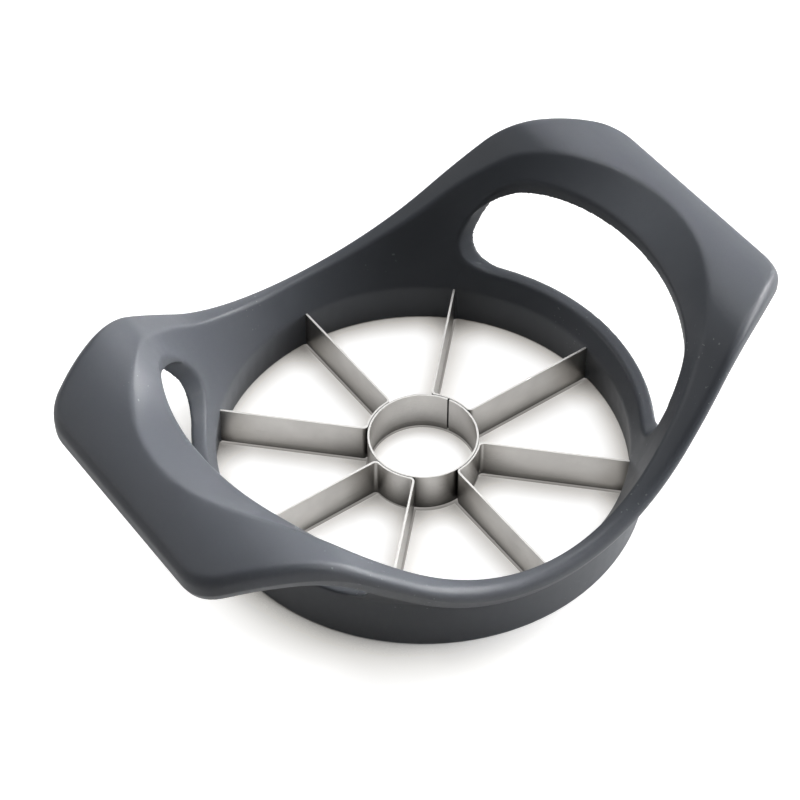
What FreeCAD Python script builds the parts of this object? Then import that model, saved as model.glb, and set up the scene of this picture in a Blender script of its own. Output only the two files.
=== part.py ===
import FreeCAD, Part
import math
import os

# Hand-held apple slicer: a one-piece moulded frame with two raised loop
# handles holds a star of eight thin steel blades around a core ring.
# Millimetres, +Z up.  The origin is on the resting plane, on the axis of the
# core ring.  The handles lie along X, the frame is symmetric about X and Y.

# ---- ring wall ----
bore_radius = 48.0          # clear radius at the blade tops
bore_draft = 0.6            # the bore is this much wider at the resting plane
wall_thickness = 4.3        # from the bore radius to the outside, at the resting plane
skirt_lean = 0.083          # outward lean of the outside, per mm of height
bowl_flare = 0.425          # outward run of the bowl per mm above the blades
foot_chamfer = 0.4          # both edges of the ring's foot

# ---- frame in plan ----
finger_slot = 6.7           # between the ring wall's foot and a handle bar
bar_width = 21.0            # from the opening to the end of a handle
rim_overhang = 2.7          # the plate beyond the ring wall's foot, at the sides
side_radius = 140.0         # long arc of each side edge
corner_radius = 11.0        # rounded corners of the handle ends

# ---- top surface of the frame, one profile carried straight across ----
ring_height = 19.5          # lowest place of the top surface, over the ring
frame_height = 48.4         # crest of the handles
crest_setback = 17.3        # crest of a handle in from its end
rise_angle = 39.5           # steepest slope between ring and crest, degrees
crest_radius = 20.0         # inner side of the crest
handle_radius = 34.0        # outer side of the crest, down to the handle end
handle_thickness = 7.6      # of the plate at the crests, measured upright
side_thickness = 6.2        # of the plate at its lowest, beside the ring
top_chamfer = 1.3           # softened rim of the plate, above
bottom_inset = 1.3          # and below, where it leans in by this much
bottom_lean_height = 3.0    # over this much of its height

# ---- finger openings ----
land_height = 16.4          # flat top of the ring wall inside the opening
opening_corner = 16.0
window_half_width = 37.6    # half the opening seen from a handle's end
window_floor_corner = 8.8
window_shoulder = 21.5      # elliptical shoulder, across
window_rise = 25.0          # and upright

# ---- scooped inner side of the handle bars ----
scoop_slope = 18.0          # slope of the scoop in the middle of a bar, degrees
scoop_run = 5.9             # extra width of the hollow there
scoop_half_angle = 36.0     # the extra width fades out here
scoop_blend_angle = 48.0    # the slope has reached the bowl's own here
scoop_foot = 0.15           # the scoop's slope starts at this share of land to crease
hollow_step = 9.0           # degrees between the sections of the bowl

# ---- blades and core ring ----
blade_count = 8
blade_top = 11.2
blade_setback = 0.4         # cutting edges above the resting plane
strip_thickness = 0.5
edge_thickness = 0.08       # left at the ground cutting edge
grind_height = 1.8
core_radius = 12.5          # inside the core ring
seam_angle = 26.0
seam_gap = 0.3
weld_clearance = 0.02
bend_radius = 0.9           # inside the bends of a blade strip
wall_entry = 0.3            # full-height blade let into the bore wall
tab_length = 2.2            # narrower tab moulded into the wall beyond that
tab_step = 1.5              # tab's setback from both edges of the blade

# ---- working values ----
OUT = "parts"
clear = 5.0                 # cutters run past the faces they cut by this much
sky = frame_height + clear
tiny = 1e-4                 # two points closer than this are the same point
skirt_radius = bore_radius + wall_thickness
opening_radius = skirt_radius + finger_slot
half_length = opening_radius + bar_width
half_width = skirt_radius + rim_overhang
rise = math.radians(rise_angle)
pitch = 360.0 / blade_count
X = FreeCAD.Vector(1, 0, 0)
Y = FreeCAD.Vector(0, 1, 0)
Z = FreeCAD.Vector(0, 0, 1)
ORIGIN = FreeCAD.Vector(0, 0, 0)


def vec(x, y, z=0.0):
    return FreeCAD.Vector(x, y, z)


def polar(radius, degrees, z=0.0):
    angle = math.radians(degrees)
    return vec(radius * math.cos(angle), radius * math.sin(angle), z)


def line(a, b):
    return Part.LineSegment(a, b).toShape()


def arc(a, middle, b):
    return Part.Arc(a, middle, b).toShape()


# ---------------------------------------------------------------- top profile
# From the middle outwards: hollow arc, straight rise, inner crest arc, crest,
# outer crest arc.  All stretches are tangent, which sets the hollow arc's radius.
crest_x = half_length - crest_setback
crest_start_x = crest_x - crest_radius * math.sin(rise)
crest_start_z = frame_height - crest_radius * (1 - math.cos(rise))
straight_foot_x = crest_start_x - (crest_start_z - ring_height) / math.tan(rise)
dish_radius = straight_foot_x / math.tan(rise / 2)
dish_end_x = dish_radius * math.sin(rise)
dish_end_z = ring_height + dish_radius * (1 - math.cos(rise))


def top_z(x):
    """Height of the top surface at a distance x from the middle."""
    x = abs(x)
    if x < dish_end_x:
        return ring_height + dish_radius - math.sqrt(dish_radius**2 - x**2)
    if x < crest_start_x:
        return dish_end_z + (x - dish_end_x) * math.tan(rise)
    radius = crest_radius if x < crest_x else handle_radius
    return frame_height - radius + math.sqrt(radius**2 - (x - crest_x)**2)


def thickness(x):
    """Upright thickness of the plate, which grows with its height."""
    share = (top_z(x) - ring_height) / (frame_height - ring_height)
    return side_thickness + (handle_thickness - side_thickness) * share


def half_profile(side, depth):
    """Edges of the profile at a depth, from the middle to past one handle end."""
    def at(x):
        return vec(side * x, 0, top_z(x) - depth(x))
    far = half_length + clear
    return [
        arc(at(0), at(dish_end_x / 2), at(dish_end_x)),
        line(at(dish_end_x), at(crest_start_x)),
        arc(at(crest_start_x), at((crest_start_x + crest_x) / 2), at(crest_x)),
        arc(at(crest_x), at((crest_x + far) / 2), at(far)),
    ]


def wavy_slab(upper, lower):
    """A slab between two depths under the top surface, carried along Y."""
    far = half_length + clear
    edges = []
    for depth in (upper, lower):
        for side in (1, -1):
            edges += half_profile(side, depth)
    for side in (1, -1):
        end = vec(side * far, 0, top_z(far))
        edges.append(line(end - Z * upper(far), end - Z * lower(far)))
    wire = Part.Wire(Part.__sortEdges__(edges))
    face = Part.Face(wire)
    face.translate(Y * -(half_width + clear))
    return face.extrude(Y * 2 * (half_width + clear))


def outline_prism():
    """Plan outline of the frame: long side arcs, straight ends."""
    drop = side_radius - math.sqrt(side_radius**2 - half_length**2)
    end_y = half_width - drop
    edges = [
        line(vec(half_length, -end_y), vec(half_length, end_y)),
        arc(vec(half_length, end_y), vec(0, half_width), vec(-half_length, end_y)),
        line(vec(-half_length, end_y), vec(-half_length, -end_y)),
        arc(vec(-half_length, -end_y), vec(0, -half_width), vec(half_length, -end_y)),
    ]
    prism = Part.Face(Part.Wire(edges)).extrude(Z * sky)
    uprights = [e for e in prism.Edges if abs(e.BoundBox.ZLength - sky) < 1e-6]
    return prism.makeFillet(corner_radius, uprights)


def surface(x):
    return 0.0


def heart(x):
    return thickness(x) / 2


def abyss(x):
    return sky


def plate():
    """The wavy plate of the frame, with its rim softened above and below."""
    slab = wavy_slab(surface, thickness).common(outline_prism())
    upper = []
    lower = []
    for edge in slab.Edges:
        point = middle(edge)
        seam = across(edge) and abs(point.x) < half_length - tiny
        if upright(edge) or seam:
            continue
        if point.z > top_z(point.x) - heart(point.x):
            upper.append(edge)
        else:
            lower.append(point)
    slab = slab.makeChamfer(top_chamfer, upper)
    lower = [e for e in slab.Edges if any(middle(e).distanceToPoint(p) < tiny for p in lower)]
    # The first distance of a chamfer lies on the first face that holds its edge.
    face = next(f for f in slab.Faces if any(e.isSame(lower[0]) for e in f.Edges))
    if abs(face.normalAt(*face.Surface.parameter(middle(lower[0]))).z) > tiny:
        return slab.makeChamfer(bottom_inset, bottom_lean_height, lower)
    return slab.makeChamfer(bottom_lean_height, bottom_inset, lower)


def middle(edge):
    return edge.valueAt((edge.FirstParameter + edge.LastParameter) / 2)


def upright(edge):
    return abs(edge.tangentAt(edge.FirstParameter).z) > 1 - tiny


def across(edge):
    return abs(edge.tangentAt(edge.FirstParameter).y) > 1 - tiny


# ----------------------------------------------------------------------- ring
land_inner = bore_radius + bowl_flare * (land_height - blade_top)
land_outer = skirt_radius + skirt_lean * land_height
foot_inner = bore_radius + bore_draft


def skirt():
    """Ring wall: it leans outwards to the land, then flares like the bowl."""
    flare_top = land_outer + bowl_flare * (sky - land_height)
    section = [
        vec(0, 0, 0),
        vec(skirt_radius - foot_chamfer, 0, 0),
        vec(skirt_radius, 0, foot_chamfer),
        vec(land_outer, 0, land_height),
        vec(flare_top, 0, sky),
        vec(0, 0, sky),
    ]
    wall = Part.Face(Part.makePolygon(section + section[:1])).revolve(ORIGIN, Z, 360)
    wall = wall.common(wavy_slab(heart, abyss))
    return wall.cut(window())


def window():
    """Cutter along X, the shape of the finger openings seen from an end."""
    floor_y = window_half_width - window_floor_corner
    low_z = land_height + window_floor_corner
    top_y = window_half_width - window_shoulder
    top = low_z + window_rise
    edges = [line(vec(0, -floor_y, land_height), vec(0, floor_y, land_height))]
    for side in (1, -1):
        centre = vec(0, side * floor_y, low_z)
        foot = vec(0, side * floor_y, land_height)
        corner = centre + vec(0, side, -1).normalize() * window_floor_corner
        flank = vec(0, side * window_half_width, low_z)
        edges.append(arc(foot, corner, flank))
        crown = vec(0, side * top_y, top)
        edges.append(quarter_ellipse(vec(0, side * top_y, low_z), flank, crown))
    edges.append(line(vec(0, -top_y, top), vec(0, top_y, top)))
    face = Part.Face(Part.Wire(Part.__sortEdges__(edges)))
    face.translate(X * -2 * half_length)
    return face.extrude(X * 4 * half_length)


def quarter_ellipse(centre, side_point, top_point):
    """Quarter of an ellipse from its side to its top."""
    across = side_point.distanceToPoint(centre)
    up = top_point.distanceToPoint(centre)
    major, minor = (side_point, top_point) if across >= up else (top_point, side_point)
    ellipse = Part.Ellipse(major, minor, centre)
    a = ellipse.parameter(side_point)
    b = ellipse.parameter(top_point)
    if (b - a) % (2 * math.pi) > math.pi:
        a, b = b, a
    return Part.ArcOfEllipse(ellipse, a, b).toShape()


def opening(side):
    """Cutter for one finger opening, seen in plan: round along the bar."""
    half = window_half_width
    near = core_radius
    far = math.sqrt(opening_radius**2 - half**2)
    edges = [
        line(vec(near, -half), vec(far, -half)),
        arc(vec(far, -half), vec(opening_radius, 0), vec(far, half)),
        line(vec(far, half), vec(near, half)),
        line(vec(near, half), vec(near, -half)),
    ]
    cutter = Part.Face(Part.Wire(edges)).extrude(Z * sky)
    outer = [e for e in cutter.Edges if upright(e) and middle(e).x > far - tiny]
    cutter = cutter.makeFillet(opening_corner, outer)
    if side < 0:
        cutter.rotate(ORIGIN, Z, 180)
    return cutter


def crease(angle):
    """Radius of the crease between the top surface and the hollow."""
    low = bore_radius
    high = half_length
    while high - low > tiny:
        radius = (low + high) / 2
        bowl = bore_radius + bowl_flare * (top_z(radius * math.cos(angle)) - blade_top)
        if bowl > radius:
            low = radius
        else:
            high = radius
    fade = min(1.0, math.degrees(angle) / scoop_half_angle)
    return low + scoop_run * math.cos(math.pi / 2 * fade)**2


def hollow_slope(angle):
    """Rise over run of the hollow's side: gentle at the bars, steep elsewhere."""
    steep = math.degrees(math.atan(1 / bowl_flare))
    share = min(1.0, math.degrees(angle) / scoop_blend_angle)
    degrees = scoop_slope + (steep - scoop_slope) * math.sin(math.pi / 2 * share)**2
    return math.tan(math.radians(degrees))


def hollow_section(degrees):
    """Section of the hollow in the half plane at an angle about the axis."""
    angle = math.radians(degrees % 180)
    angle = min(angle, math.pi - angle)
    rim = crease(angle)
    rim_z = top_z(rim * math.cos(angle))
    slope = hollow_slope(angle)
    foot = land_inner + scoop_foot * (rim - land_inner)
    past = rim + top_chamfer
    corners = [
        (core_radius, blade_top - clear),
        (bore_radius - bowl_flare * clear, blade_top - clear),
        (land_inner, land_height),
        (foot, rim_z - slope * (rim - foot)),
        (past, rim_z + slope * (past - rim)),
        (past, 2 * sky),
        (core_radius, 2 * sky),
    ]
    points = [polar(r, degrees, z) for r, z in corners]
    return Part.makePolygon(points + points[:1])


def bore():
    """The hollow beside the blades, with draft; it crosses the bowl at their tops."""
    past = bore_radius - bore_draft * clear / blade_top
    section = [
        vec(0, 0, -clear),
        vec(foot_inner + foot_chamfer, 0, -clear),
        vec(foot_inner + foot_chamfer, 0, 0),
        vec(foot_inner, 0, foot_chamfer),
        vec(past, 0, blade_top + clear),
        vec(0, 0, blade_top + clear),
    ]
    return Part.Face(Part.makePolygon(section + section[:1])).revolve(ORIGIN, Z, 360)


def bowl():
    """The hollow above the blades: a loft round one half and its mirror image."""
    steps = math.ceil(90 / hollow_step) + 2
    sections = [hollow_section(hollow_step * i) for i in range(-steps, steps + 1)]
    right = Part.makeLoft(sections, True, False)
    far = 4 * half_length
    right = right.common(Part.makeBox(far, 2 * far, 2 * far, vec(0, -far, -far)))
    left = right.mirror(ORIGIN, X)
    foot = blade_top - clear
    core = Part.makeCylinder(core_radius + strip_thickness, 2 * sky - foot, vec(0, 0, foot))
    return right.fuse(left).fuse(core)


def frame():
    """The whole moulding, before the blades are let into it."""
    body = plate().fuse(skirt())
    gap = window()
    for side in (1, -1):
        body = body.cut(opening(side).common(gap))
    return body.cut(bore()).cut(bowl())


# --------------------------------------------------------------------- blades
# A strip lies against the core ring and turns outwards in a bend at each end.
shoulder = blade_setback + grind_height
blade_tip = bore_radius + wall_entry
wrap_radius = core_radius + strip_thickness + weld_clearance + strip_thickness / 2
bend_middle = bend_radius + strip_thickness / 2
bend_centre = wrap_radius + bend_middle
bend_lean = math.degrees(math.asin(bend_middle / bend_centre))


def other_blade(point):
    """The same point on the other blade of a strip."""
    degrees = math.degrees(math.atan2(point.y, point.x))
    return polar(math.hypot(point.x, point.y), pitch - degrees)


def strip_outline(thickness, z):
    """Plan outline of one strip: a blade, an arc round the core, a blade."""
    centre = polar(bend_centre, bend_lean)
    straight = math.sqrt(bend_centre**2 - bend_middle**2)
    edges = []
    tips = []
    for offset in (thickness / 2, -thickness / 2):
        radius = bend_middle - offset
        tip = vec(blade_tip, offset)
        start = vec(straight, offset)
        turn = centre + polar(radius, 225 + bend_lean / 2)
        end = polar(bend_centre - radius, bend_lean)
        wrap = polar(wrap_radius + offset, pitch / 2)
        edges += [line(tip, start), arc(start, turn, end)]
        edges += [line(other_blade(tip), other_blade(start))]
        edges += [arc(other_blade(start), other_blade(turn), other_blade(end))]
        edges += [arc(end, wrap, other_blade(end))]
        tips.append(tip)
    edges.append(line(tips[0], tips[1]))
    edges.append(line(other_blade(tips[0]), other_blade(tips[1])))
    wire = Part.Wire(Part.__sortEdges__(edges))
    wire.translate(Z * z)
    return wire


def blade_strip(index):
    """One bent strip that makes two neighbouring blades, ground at its foot."""
    foot = strip_outline(edge_thickness, blade_setback)
    full = strip_outline(strip_thickness, shoulder)
    strip = Part.Face(full).extrude(Z * (blade_top - shoulder))
    strip = strip.fuse(Part.makeLoft([foot, full], True, True))
    tab_height = blade_top - blade_setback - 2 * tab_step
    corner = vec(bore_radius, -strip_thickness / 2, blade_setback + tab_step)
    for side in (0, 1):
        tab = Part.makeBox(wall_entry + tab_length, strip_thickness, tab_height, corner)
        tab.rotate(ORIGIN, Z, side * pitch)
        strip = strip.fuse(tab)
    strip = strip.removeSplitter()
    strip.rotate(ORIGIN, Z, index * 2 * pitch)
    return strip


def core_ring():
    """Rolled ring inside the strips, with its seam open by a hair."""
    outer = core_radius + strip_thickness
    mean = core_radius + strip_thickness / 2
    half_edge = edge_thickness / 2
    section = [
        vec(core_radius, 0, blade_top),
        vec(core_radius, 0, shoulder),
        vec(mean - half_edge, 0, blade_setback),
        vec(mean + half_edge, 0, blade_setback),
        vec(outer, 0, shoulder),
        vec(outer, 0, blade_top),
    ]
    turn = 360 - math.degrees(seam_gap / mean)
    ring = Part.Face(Part.makePolygon(section + section[:1])).revolve(ORIGIN, Z, turn)
    ring.rotate(ORIGIN, Z, seam_angle + (360 - turn) / 2)
    return ring


def main():
    os.makedirs(OUT, exist_ok=True)
    strips = [blade_strip(i) for i in range(blade_count // 2)]
    body = frame()
    for strip in strips:
        body = body.cut(strip)
    nodes = {"frame": body, "core_ring": core_ring()}
    for i, strip in enumerate(strips):
        nodes["blade_strip_" + str(i + 1)] = strip
    for name, shape in nodes.items():
        print(name, shape.isValid(), len(shape.Solids), len(shape.Faces), round(shape.Volume))
        shape.exportStep(OUT + "/" + name + ".step")


if __name__ == "__main__":
    main()
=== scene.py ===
"""Looks of the hand-held apple slicer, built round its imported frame.

Metres, the frame's own axes: +X along the handles, +Z up, origin on the
resting plane, on the axis of the core ring. The near handle is the one at -X.
"""

import math

import bmesh
import bpy
import numpy as np
from mathutils import Matrix, Vector
from mathutils.geometry import convex_hull_2d


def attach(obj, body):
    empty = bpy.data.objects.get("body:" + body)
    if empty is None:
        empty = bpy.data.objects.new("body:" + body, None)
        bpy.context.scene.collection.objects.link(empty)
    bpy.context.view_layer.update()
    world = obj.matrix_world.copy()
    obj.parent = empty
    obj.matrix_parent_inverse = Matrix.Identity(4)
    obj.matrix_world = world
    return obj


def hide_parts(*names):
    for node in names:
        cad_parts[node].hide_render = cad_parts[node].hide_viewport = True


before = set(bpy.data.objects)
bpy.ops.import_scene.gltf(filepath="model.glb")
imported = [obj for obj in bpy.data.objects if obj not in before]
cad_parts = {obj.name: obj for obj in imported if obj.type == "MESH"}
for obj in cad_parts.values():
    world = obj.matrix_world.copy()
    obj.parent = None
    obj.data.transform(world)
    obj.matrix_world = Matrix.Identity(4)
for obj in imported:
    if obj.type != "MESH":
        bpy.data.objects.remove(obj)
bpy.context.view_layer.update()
MM = 0.001
WHITE = (1, 1, 1, 1)
OCCLUSION_SAMPLES = 8                       # looks from a spot, to tell how open it is

# ---- camera, as the photograph was taken ----
CAMERA_AZIMUTH = math.radians(-125.702)     # where the camera stands, from +X towards +Y
CAMERA_ELEVATION = math.radians(47.946)
CAMERA_ROLL = math.radians(0.093)
CAMERA_DISTANCE = 632.18 * MM
CAMERA_AIM = Vector((2.761, 13.076, 9.857)) * MM
CAMERA_LENS = 120.75                        # on a sensor 36 wide
CAMERA_CLIP = (0.05, 20.0)

# ---- frame's skin ----
BLADES = 8
PLUG_RADII = (48.2 * MM, 51.4 * MM)         # from inside the bore's face to past the tabs
PLUG_THICKNESS = 0.9 * MM
PLUG_HEIGHTS = (0.3 * MM, 11.4 * MM)
VOXEL = 0.20 * MM                           # fine enough to keep the thin edges
SMOOTHING = 14                              # passes over the whole skin
SMOOTHING_STEP = 0.5                        # of the way to its neighbours' middle, for each vertex
SKIN_SHARE = 0.098                          # of the faces kept, for under 200,000 triangles
RIM = "rim"
RIM_SMOOTHING = 80                          # further passes on the plate's outer rim
RIM_REACH = 3.0 * MM                        # inwards from the outline
RIM_FADE = 1.0 * MM                         # the last part of that reach, where it fades out
RIM_TURN = 0.25                             # surfaces that face down by more than this are left alone
RIM_LEVELS = 8                              # steps from not smoothed further to fully

# ---- plastic; a noise is given by its cells to the metre and its detail ----
PLASTIC_TONES = [(0.3, (0.090, 0.098, 0.112, 1)), (0.7, (0.100, 0.108, 0.123, 1))]
PLASTIC_TONE_NOISE = (45, 3)
PLASTIC_ROUGHNESS = 0.33
ROUGHNESS_NOISE, ROUGHNESS_SPREAD = (420, 3), 0.10
PLASTIC_SPECULAR = 0.3
GRAIN_NOISE, GRAIN_DEPTH, GRAIN_STRENGTH = (3200, 2), 0.02 * MM, 0.5
NICK_PATCH_NOISE, NICK_PATCH_LEVEL = (38, 1), 0.60  # nicks lie where both noises pass their level
NICK_NOISE, NICK_LEVEL = (1100, 1), 0.735
NICK_COLOR = (0.19, 0.20, 0.21, 1)

# ---- steel; its lines, ground and sheared parts add to its roughness ----
STEEL_TONES = [(0.3, (0.64, 0.62, 0.595, 1)), (0.7, (0.74, 0.72, 0.69, 1))]
STEEL_TONE_NOISE = (120, 3)
STEEL_ROUGHNESS = 0.25
LINE_STRETCH, LINE_NOISE = (60, 60, 7000), (1, 3)   # drawn out level, to run along the strip
LINE_ROUGHNESS, LINE_DEPTH, LINE_STRENGTH = 0.08, 0.008 * MM, 0.4
GROUND_TOP = 2.15 * MM                      # the blades are ground up to here, and that foot is painted lighter against the shaded floor it mirrors
GROUND_PAINTED_LIGHT, GROUND_ROUGHNESS = (0.78, 0.76, 0.73, 1), 0.08
SHEARED_TURN = 0.7                          # surfaces that face up by more than this are sheared and rougher, and painted lighter as a highlight
SHEARED_HIGHLIGHT_COLOR, SHEARED_ROUGHNESS = (0.84, 0.83, 0.81, 1), 0.25
RING_SEAM = (13.03 * MM, 0.09 * MM)         # between ring and strips: radius, half width
SLIT_ANGLE = math.radians(26.0)             # where the core ring's ends meet, from +X towards +Y
SLIT_HALF_WIDTH = 0.22 * MM
GAP_COLOR = (0.05, 0.05, 0.05, 1)
CORNER_RADII = (20 * MM, 45 * MM)           # from the first to the second the reach below falls
CORNER_SHADE_REACHES = (10 * MM, 4 * MM)          # how far from its neighbours the painted shade reaches
CORNER_PAINTED_SHADES = [(0.3, 0.12), (0.6, 0.5), (0.85, 1.0)]  # how open a spot is, and its painted shade

# ---- lamps: name, azimuth and elevation in degrees, watts ----
LAMP_AIM = Vector((0, 0, 20 * MM))
LAMP_DISTANCE = 2.8                         # far enough to light both handles alike
LAMP_SIZE = 1.5
LAMPS = (
    ("key_low", 0, 18, 52.0),
    ("key_high", 0, 45, 18.0),
    ("top", 30, 68, 23.0),
    ("front_low", 331, 18, 58.0),
    ("back_high", 120, 45, 6.6),
    ("back_low", 135, 18, 10.0),
    ("right_low", 55, 22, 12.0),
    ("left_low", 225, 18, 2.0),
)
# Narrow lamps for the near handle alone: the same, and what they shine on.
NEAR_LAMPS = (
    ("near_inside", 5, 22, 0.030, Vector((-72, 0, 34)) * MM),
    ("near_front", 290, 35, 0.011, Vector((-64, -26, 28)) * MM),
)
NEAR_DISTANCE = 1.2
NEAR_SIZE = 0.12
NEAR_SPREAD = math.radians(8)

# ---- stage ----
FLOOR_HALF = 3.0
FLOOR_BOUNCE = (0.20, 0.20, 0.20, 1)        # for the light that the floor throws back
FLOOR_COLOR = (0.5, 0.5, 0.5, 1)            # for the light that the eye and the gloss see
FLOOR_LIFT = 0.95                           # what the floor gives off, as the eye sees it
FLOOR_LIFT_MIRRORED = 0.50                  # and as the gloss sees it
BORE = 49 * MM                              # radius within which the blades shade the floor
RING_RADIUS = 12.9 * MM                     # of the painted shadow line under the core ring
# How open a spot on the floor is, and its painted shade, first inside the bore and then outside the
# frame.
INNER_SHADES = [(0.25, (0.10, 0.09, 0.08, 1)), (0.6, (0.60, 0.58, 0.55, 1)), (0.95, WHITE)]
OUTER_SHADES = [(0.43, 0.0), (0.54, (0.36, 0.345, 0.32, 1)), (0.62, (0.545, 0.53, 0.50, 1)),
                (0.75, (0.73, 0.72, 0.70, 1)), (1.0, 1.0)]
SHADOW_REACH = 20 * MM                      # how far from the object the floor darkens
BORE_REACH = 8.5 * MM                       # the same between the blades
CORE_REACH = 5 * MM                         # and inside the core ring
SHADOW_AIM = (0.50, 0.29, 0.82)             # towards the light, which comes from the back right
SHADOW_SIDE = (-0.985, -0.174, 0)           # the side of the object that the shadow falls on
SIDE_LEVEL, SIDE_SLOPE = 0.15, 0.9          # the shadow's share square to that side, and its rise
EDGE_SHADOW_HALF_WIDTH = 0.5 * MM                        # half the width of the painted shadow lines under the thin edges
EDGE_SHADOW_COLOR = (0.22, 0.21, 0.20, 1)
WORLD_STRENGTH = 0.02                       # as a light; the eye sees it white


# ------------------------------------------------------------------ node helpers
class Graph:
    """Short words for building one material's node tree."""

    def __init__(self, name):
        self.material = bpy.data.materials.new(name)
        self.material.use_nodes = True
        self.tree = self.material.node_tree
        self.tree.nodes.clear()

    def node(self, kind, inputs=(), **settings):
        made = self.tree.nodes.new("ShaderNode" + kind)
        for key, value in settings.items():
            setattr(made, key, value)
        for key, value in dict(inputs).items():
            self.feed(made.inputs[key], value)
        return made

    def feed(self, socket, value):
        if isinstance(value, bpy.types.NodeSocket):
            self.tree.links.new(value, socket)
        else:
            socket.default_value = value

    def math(self, operation, a, b=0.0, clamp=False):
        made = self.node("Math", {0: a, 1: b}, operation=operation, use_clamp=clamp)
        return made.outputs[0]

    def product(self, first, *others):
        for other in others:
            first = self.math("MULTIPLY", first, other)
        return first

    def vector(self, operation, a, b=(0, 0, 0)):
        return self.node("VectorMath", {0: a, 1: b}, operation=operation).outputs

    def length(self, vector):
        return self.vector("LENGTH", vector)["Value"]

    def axes(self, vector):
        """The three parts of a vector, by their letters."""
        return self.node("SeparateXYZ", {0: vector}).outputs

    def near(self, value, middle, reach):
        """1 where the value is less than reach away from middle, else 0."""
        return self.math("LESS_THAN", self.math("ABSOLUTE", self.math("SUBTRACT", value, middle)), reach)

    def ramp(self, value, stops):
        """Colours or greys at given places, with what lies between mixed."""
        made = self.node("ValToRGB", {"Fac": value})
        elements = made.color_ramp.elements
        while len(elements) < len(stops):
            elements.new(0.5)
        for element, (place, color) in zip(elements, stops):
            element.position = place
            element.color = color if hasattr(color, "__len__") else (color, color, color, 1)
        return made.outputs["Color"]

    def mix(self, share, a, b, blend="MIX"):
        made = self.node("Mix", data_type="RGBA", blend_type=blend)
        self.feed(made.inputs["Factor"], share)
        self.feed(made.inputs[6], a)
        self.feed(made.inputs[7], b)
        return made.outputs[2]

    def noise(self, vector, cells, detail):
        made = self.node("TexNoise", {"Vector": vector, "Scale": cells, "Detail": detail})
        return made.outputs["Fac"]

    def place(self, stretch=(1, 1, 1)):
        """Object coordinates, stretched."""
        coordinates = self.node("TexCoord").outputs["Object"]
        return self.node("Mapping", {"Vector": coordinates, "Scale": stretch}).outputs["Vector"]

    def openness(self, reach, **inputs):
        """How much of the space within reach is open: 1 in the open, less in a corner."""
        made = self.node("AmbientOcclusion", {"Distance": reach, **inputs}, samples=OCCLUSION_SAMPLES)
        return made.outputs["AO"]

    def bump(self, height, distance, strength):
        made = self.node("Bump", {"Height": height, "Distance": distance, "Strength": strength})
        return made.outputs["Normal"]

    def show(self, shader):
        """The material, with this shader on its surface."""
        self.node("OutputMaterial", {"Surface": shader.outputs[0]})
        return self.material

    def surface(self, **inputs):
        return self.show(self.node("BsdfPrincipled", {k.replace("_", " "): v for k, v in inputs.items()}))


# --------------------------------------------------------------------- materials
def frame_plastic():
    """Slate grey plastic, satin, with the fine grain of a spark-eroded mould and a few pale nicks."""
    g = Graph("slate_plastic")
    here = g.place()
    color = g.ramp(g.noise(here, *PLASTIC_TONE_NOISE), PLASTIC_TONES)
    patches = g.math("GREATER_THAN", g.noise(here, *NICK_PATCH_NOISE), NICK_PATCH_LEVEL)
    specks = g.math("GREATER_THAN", g.noise(here, *NICK_NOISE), NICK_LEVEL)
    color = g.mix(g.product(patches, specks), color, NICK_COLOR)
    spread = g.product(g.noise(here, *ROUGHNESS_NOISE), ROUGHNESS_SPREAD)
    return g.surface(
        Base_Color=color,
        Roughness=g.math("ADD", PLASTIC_ROUGHNESS, spread),
        Specular_IOR_Level=PLASTIC_SPECULAR,
        Normal=g.bump(g.noise(here, *GRAIN_NOISE), GRAIN_DEPTH, GRAIN_STRENGTH),
    )


def gaps(g, here, radius, sheared_and_painted_lighter):
    """Dark gaps: where the strips lie against the ring, and where the ring's own ends meet."""
    seam = g.product(sheared_and_painted_lighter, g.near(radius, *RING_SEAM))
    turned = g.node("VectorRotate", {"Vector": here, "Angle": -SLIT_ANGLE}, rotation_type="Z_AXIS")
    slit = g.axes(turned.outputs[0])
    aside = g.near(slit["Y"], 0.0, SLIT_HALF_WIDTH)
    ahead = g.math("GREATER_THAN", slit["X"], 0.0)
    on_ring = g.math("LESS_THAN", radius, RING_SEAM[0])
    return g.math("MAXIMUM", seam, g.product(aside, ahead, on_ring))


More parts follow.
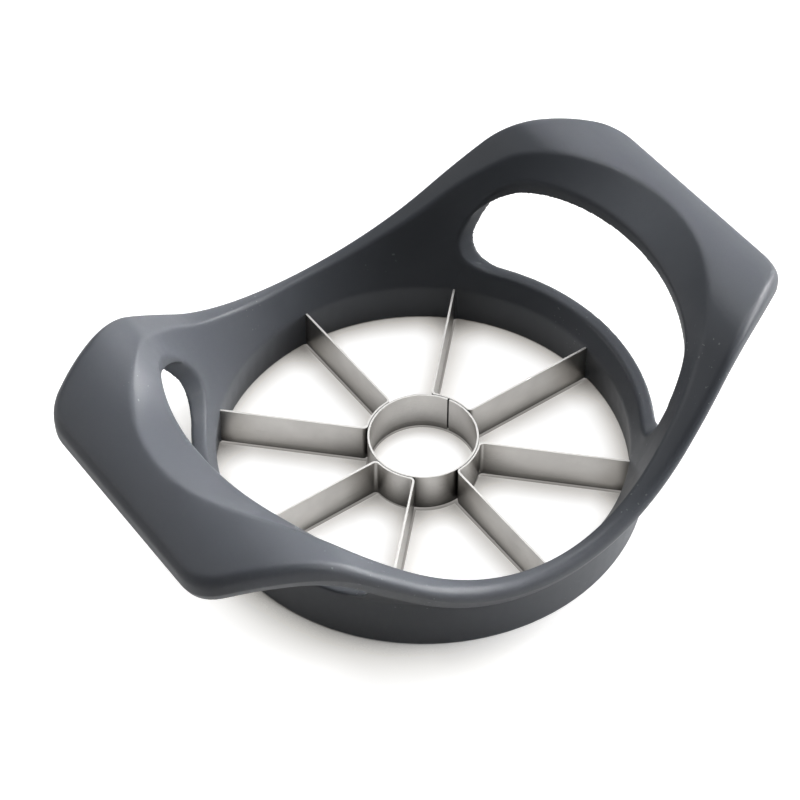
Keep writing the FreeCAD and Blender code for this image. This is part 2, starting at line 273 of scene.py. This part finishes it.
def blade_steel():
    """Cold-rolled stainless strip: faint lines along it, a rougher foot from grinding and a rougher
    shear-cut top, the foot and top painted lighter and the corners painted darker.
    """
    g = Graph("strip_steel")
    here = g.place()
    ground_and_painted_lighter = g.math("LESS_THAN", g.axes(here)["Z"], GROUND_TOP)
    upward = g.axes(g.node("NewGeometry").outputs["True Normal"])["Z"]
    sheared_and_painted_lighter = g.math("GREATER_THAN", upward, SHEARED_TURN)
    lines = g.noise(g.place(LINE_STRETCH), *LINE_NOISE)
    rough = g.math("ADD", STEEL_ROUGHNESS, g.product(lines, LINE_ROUGHNESS))
    rough = g.math("ADD", rough, g.product(ground_and_painted_lighter, GROUND_ROUGHNESS))
    rough = g.math("ADD", rough, g.product(sheared_and_painted_lighter, SHEARED_ROUGHNESS))
    color = g.ramp(g.noise(here, *STEEL_TONE_NOISE), STEEL_TONES)
    # Painted light: the ground foot's colour is made lighter, against the shaded floor that it mirrors.
    color = g.mix(ground_and_painted_lighter, color, GROUND_PAINTED_LIGHT)
    # Partly real, partly painted highlight: what faces up is sheared steel, and its colour is made
    # lighter.
    color = g.mix(sheared_and_painted_lighter, color, SHEARED_HIGHLIGHT_COLOR)
    # Painted shade: corners get a darker colour, as they mirror little but each other, most of all at the
    # core ring.
    radius = g.length(g.place((1, 1, 0)))
    reach = g.node("MapRange", {
        "Value": radius,
        "From Min": CORNER_RADII[0], "From Max": CORNER_RADII[1],
        "To Min": CORNER_SHADE_REACHES[0], "To Max": CORNER_SHADE_REACHES[1],
    }).outputs[0]
    color = g.mix(1.0, color, g.ramp(g.openness(reach), CORNER_PAINTED_SHADES), "MULTIPLY")
    color = g.mix(gaps(g, here, radius, sheared_and_painted_lighter), color, GAP_COLOR)
    normal = g.bump(lines, LINE_DEPTH, LINE_STRENGTH)
    return g.surface(Base_Color=color, Metallic=1.0, Roughness=rough, Normal=normal)


def edge_shadow_lines(g, here, radius, spokes):
    """Where a fine dark line of painted shadow lies on the floor right under the thin steel edges."""
    parts = g.axes(here)
    angle = g.math("PINGPONG", g.math("ARCTAN2", parts["Y"], parts["X"]), math.pi / BLADES)
    aside = g.math("MULTIPLY", radius, g.math("SINE", angle))
    blades = g.product(g.math("LESS_THAN", aside, EDGE_SHADOW_HALF_WIDTH), spokes)
    return g.math("MAXIMUM", blades, g.near(radius, RING_RADIUS, EDGE_SHADOW_HALF_WIDTH))


def floor_shade(g, here, radius, within, outside):
    """Painted shadow: how the floor darkens close to the object, to one side of it and between the
    blades.
    """
    reach = g.math("ADD", g.product(outside, BORE_REACH - CORE_REACH), CORE_REACH)
    beyond = g.product(g.math("SUBTRACT", 1.0, within), SHADOW_REACH - BORE_REACH)
    opened = g.openness(g.math("ADD", reach, beyond), Normal=SHADOW_AIM)
    outwards = g.vector("NORMALIZE", here)["Vector"]
    side = g.product(g.vector("DOT_PRODUCT", outwards, SHADOW_SIDE)["Value"], SIDE_SLOPE)
    side = g.math("ADD", side, SIDE_LEVEL, clamp=True)
    outer = g.mix(side, WHITE, g.ramp(opened, OUTER_SHADES))
    return g.mix(within, outer, g.ramp(opened, INNER_SHADES))


def floor_material():
    """White floor: plain for the light it throws back, lit and with painted shadows for the eye and the
    gloss.
    """
    g = Graph("floor")
    here = g.place()
    radius = g.length(here)
    within = g.math("LESS_THAN", radius, BORE)
    outside = g.math("GREATER_THAN", radius, RING_RADIUS)
    lines = edge_shadow_lines(g, here, radius, g.product(within, outside))
    # Painted shadow: fine dark lines under the thin steel edges and the core ring, in the floor's colour.
    shade = g.mix(lines, floor_shade(g, here, radius, within, outside), EDGE_SHADOW_COLOR)
    rays = g.node("LightPath").outputs
    strength = g.product(rays["Is Camera Ray"], FLOOR_LIFT - FLOOR_LIFT_MIRRORED)
    strength = g.math("ADD", strength, FLOOR_LIFT_MIRRORED)
    lift = g.node("Emission", {"Color": shade, "Strength": strength})
    # The painted shadow lines darken the lit colour as well.
    diffuse = g.node("BsdfDiffuse", {"Color": g.mix(lines, FLOOR_COLOR, EDGE_SHADOW_COLOR)})
    lit = g.node("AddShader", {0: diffuse.outputs[0], 1: lift.outputs[0]})
    bounce = g.node("BsdfDiffuse", {"Color": FLOOR_BOUNCE})
    seen = g.math("MAXIMUM", rays["Is Camera Ray"], rays["Is Glossy Ray"])
    return g.show(g.node("MixShader", {"Fac": seen, 1: bounce.outputs[0], 2: lit.outputs[0]}))


# ------------------------------------------------------------------------- stage
def build_floor():
    mesh = bpy.data.meshes.new("floor")
    half = FLOOR_HALF
    corners = [(-half, -half, 0), (half, -half, 0), (half, half, 0), (-half, half, 0)]
    mesh.from_pydata(corners, [], [(0, 1, 2, 3)])
    mesh.materials.append(floor_material())
    floor = bpy.data.objects.new("floor", mesh)
    bpy.context.scene.collection.objects.link(floor)


def build_world():
    """Even white surroundings, dimmer for what they light than for what is seen."""
    world = bpy.data.worlds.new("studio")
    bpy.context.scene.world = world
    world.use_nodes = True
    tree = world.node_tree
    background = tree.nodes["Background"]
    background.inputs["Color"].default_value = WHITE
    rays = tree.nodes.new("ShaderNodeLightPath")
    seen = tree.nodes.new("ShaderNodeMapRange")
    seen.inputs["To Min"].default_value = WORLD_STRENGTH
    seen.inputs["To Max"].default_value = 1.0
    tree.links.new(rays.outputs["Is Camera Ray"], seen.inputs["Value"])
    tree.links.new(seen.outputs[0], background.inputs["Strength"])


def direction(azimuth, elevation):
    """Unit vector that points so far round from +X towards +Y, and so far up, in radians."""
    level = math.cos(elevation)
    return Vector((level * math.cos(azimuth), level * math.sin(azimuth), math.sin(elevation)))


def add_lamp(name, azimuth, elevation, power, aim, distance, size):
    """A round lamp that shines on aim from the given side, in degrees."""
    away = direction(math.radians(azimuth), math.radians(elevation))
    data = bpy.data.lights.new(name, "AREA")
    data.shape = "DISK"
    data.size = size
    data.energy = power
    lamp = bpy.data.objects.new(name, data)
    lamp.location = aim + away * distance
    lamp.rotation_euler = (-away).to_track_quat("-Z", "Y").to_euler()
    bpy.context.scene.collection.objects.link(lamp)
    return data


def build_lights():
    """Soft lamps all round, the strong ones on the side of +X, and two narrow ones."""
    for name, azimuth, elevation, power in LAMPS:
        add_lamp(name, azimuth, elevation, power, LAMP_AIM, LAMP_DISTANCE, LAMP_SIZE)
    for name, azimuth, elevation, power, aim in NEAR_LAMPS:
        near = add_lamp(name, azimuth, elevation, power, aim, NEAR_DISTANCE, NEAR_SIZE)
        near.spread = NEAR_SPREAD


def build_camera():
    data = bpy.data.cameras.new("camera")
    data.lens = CAMERA_LENS
    data.clip_start, data.clip_end = CAMERA_CLIP
    back = direction(CAMERA_AZIMUTH, CAMERA_ELEVATION)
    right = Vector((0, 0, 1)).cross(back).normalized()
    up = back.cross(right)
    turn = Matrix((right, up, back)).transposed() @ Matrix.Rotation(CAMERA_ROLL, 3, "Z")
    camera = bpy.data.objects.new("camera", data)
    camera.matrix_world = Matrix.Translation(CAMERA_AIM + back * CAMERA_DISTANCE) @ turn.to_4x4()
    bpy.context.scene.collection.objects.link(camera)
    bpy.context.scene.camera = camera


# ------------------------------------------------------------------------ pieces
def evaluated_mesh(piece, name):
    """The piece's mesh with its modifiers applied."""
    bpy.context.view_layer.update()
    view = bpy.context.evaluated_depsgraph_get()
    mesh = bpy.data.meshes.new_from_object(piece.evaluated_get(view))
    mesh.name = name
    return mesh


def add_plugs(form):
    """Fill the pockets of the blade ends, so that the skin closes round the blades."""
    inner, outer = PLUG_RADII
    half = PLUG_THICKNESS / 2
    low, high = PLUG_HEIGHTS
    for index in range(BLADES):
        turn = Matrix.Rotation(index * 2 * math.pi / BLADES, 4, "Z")
        corners = bmesh.ops.create_cube(form, size=1.0)["verts"]
        for corner in corners:
            x = inner if corner.co.x < 0 else outer
            y = math.copysign(half, corner.co.y)
            z = low if corner.co.z < 0 else high
            corner.co = turn @ Vector((x, y, z))


def add_smoothing(piece, passes, group=""):
    smooth = piece.modifiers.new("smooth", "SMOOTH")
    smooth.factor = SMOOTHING_STEP
    smooth.iterations = passes
    smooth.vertex_group = group


def mark_rim(skin):
    """Make a vertex group of the plate's outer rim: its sides and upper edge, not what faces down."""
    count = len(skin.data.vertices)
    spots = np.empty(3 * count, dtype=np.float32)
    facing = np.empty(3 * count, dtype=np.float32)
    skin.data.vertices.foreach_get("co", spots)
    skin.data.vertex_normals.foreach_get("vector", facing)
    spots, upward = spots.reshape(-1, 3), facing.reshape(-1, 3)[:, 2]
    plan = [Vector(v.co.xy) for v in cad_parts["frame"].data.vertices]
    outline = [plan[i] for i in convex_hull_2d(plan)]
    inset = np.full(count, np.inf, dtype=np.float32)    # how far inside the plan's outline
    for a, b in zip(outline, outline[1:] + outline[:1]):
        along = (b - a).normalized()
        inset = np.minimum(inset, np.abs((spots[:, 1] - a.y) * along.x - (spots[:, 0] - a.x) * along.y))
    share = np.clip((RIM_REACH - inset) / RIM_FADE, 0, 1) * np.clip(1 + upward / RIM_TURN, 0, 1)
    level = np.rint(share * RIM_LEVELS).astype(int)
    group = skin.vertex_groups.new(name=RIM)
    for step in range(1, RIM_LEVELS + 1):
        group.add(np.flatnonzero(level == step).tolist(), step / RIM_LEVELS, "REPLACE")


def moulded_frame(material):
    """The frame's skin: the solid's own shape with every edge softly rounded."""
    form = bmesh.new()
    form.from_mesh(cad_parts["frame"].data)
    add_plugs(form)
    mesh = bpy.data.meshes.new("frame_skin")
    form.to_mesh(mesh)
    form.free()
    skin = bpy.data.objects.new("frame_skin", mesh)
    bpy.context.scene.collection.objects.link(skin)
    remesh = skin.modifiers.new("remesh", "REMESH")
    remesh.mode = "VOXEL"
    remesh.voxel_size = VOXEL
    add_smoothing(skin, SMOOTHING)
    skin.data = evaluated_mesh(skin, "frame_form")
    skin.modifiers.clear()
    mark_rim(skin)
    add_smoothing(skin, RIM_SMOOTHING, RIM)
    thin = skin.modifiers.new("thin", "DECIMATE")
    thin.ratio = SKIN_SHARE
    skin.data = evaluated_mesh(skin, "frame_skin")
    skin.modifiers.clear()
    skin.vertex_groups.clear()
    skin.data.polygons.foreach_set("use_smooth", [True] * len(skin.data.polygons))
    skin.data.materials.clear()
    skin.data.materials.append(material)
    print("frame_skin", len(skin.data.polygons), "faces")
    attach(skin, "root")
    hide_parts("frame")


def dress(material, slot, *nodes):
    """Give CAD nodes a material in place of their plain one."""
    for name in nodes:
        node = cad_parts[name]
        node.data.materials.clear()
        node.data.materials.append(material)


bpy.context.scene.view_settings.view_transform = "Standard"
build_world()
build_floor()
build_lights()
build_camera()
moulded_frame(frame_plastic())
steel_nodes = [name for name in sorted(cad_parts) if name != "frame"]
dress(blade_steel(), "blade_steel", *steel_nodes)
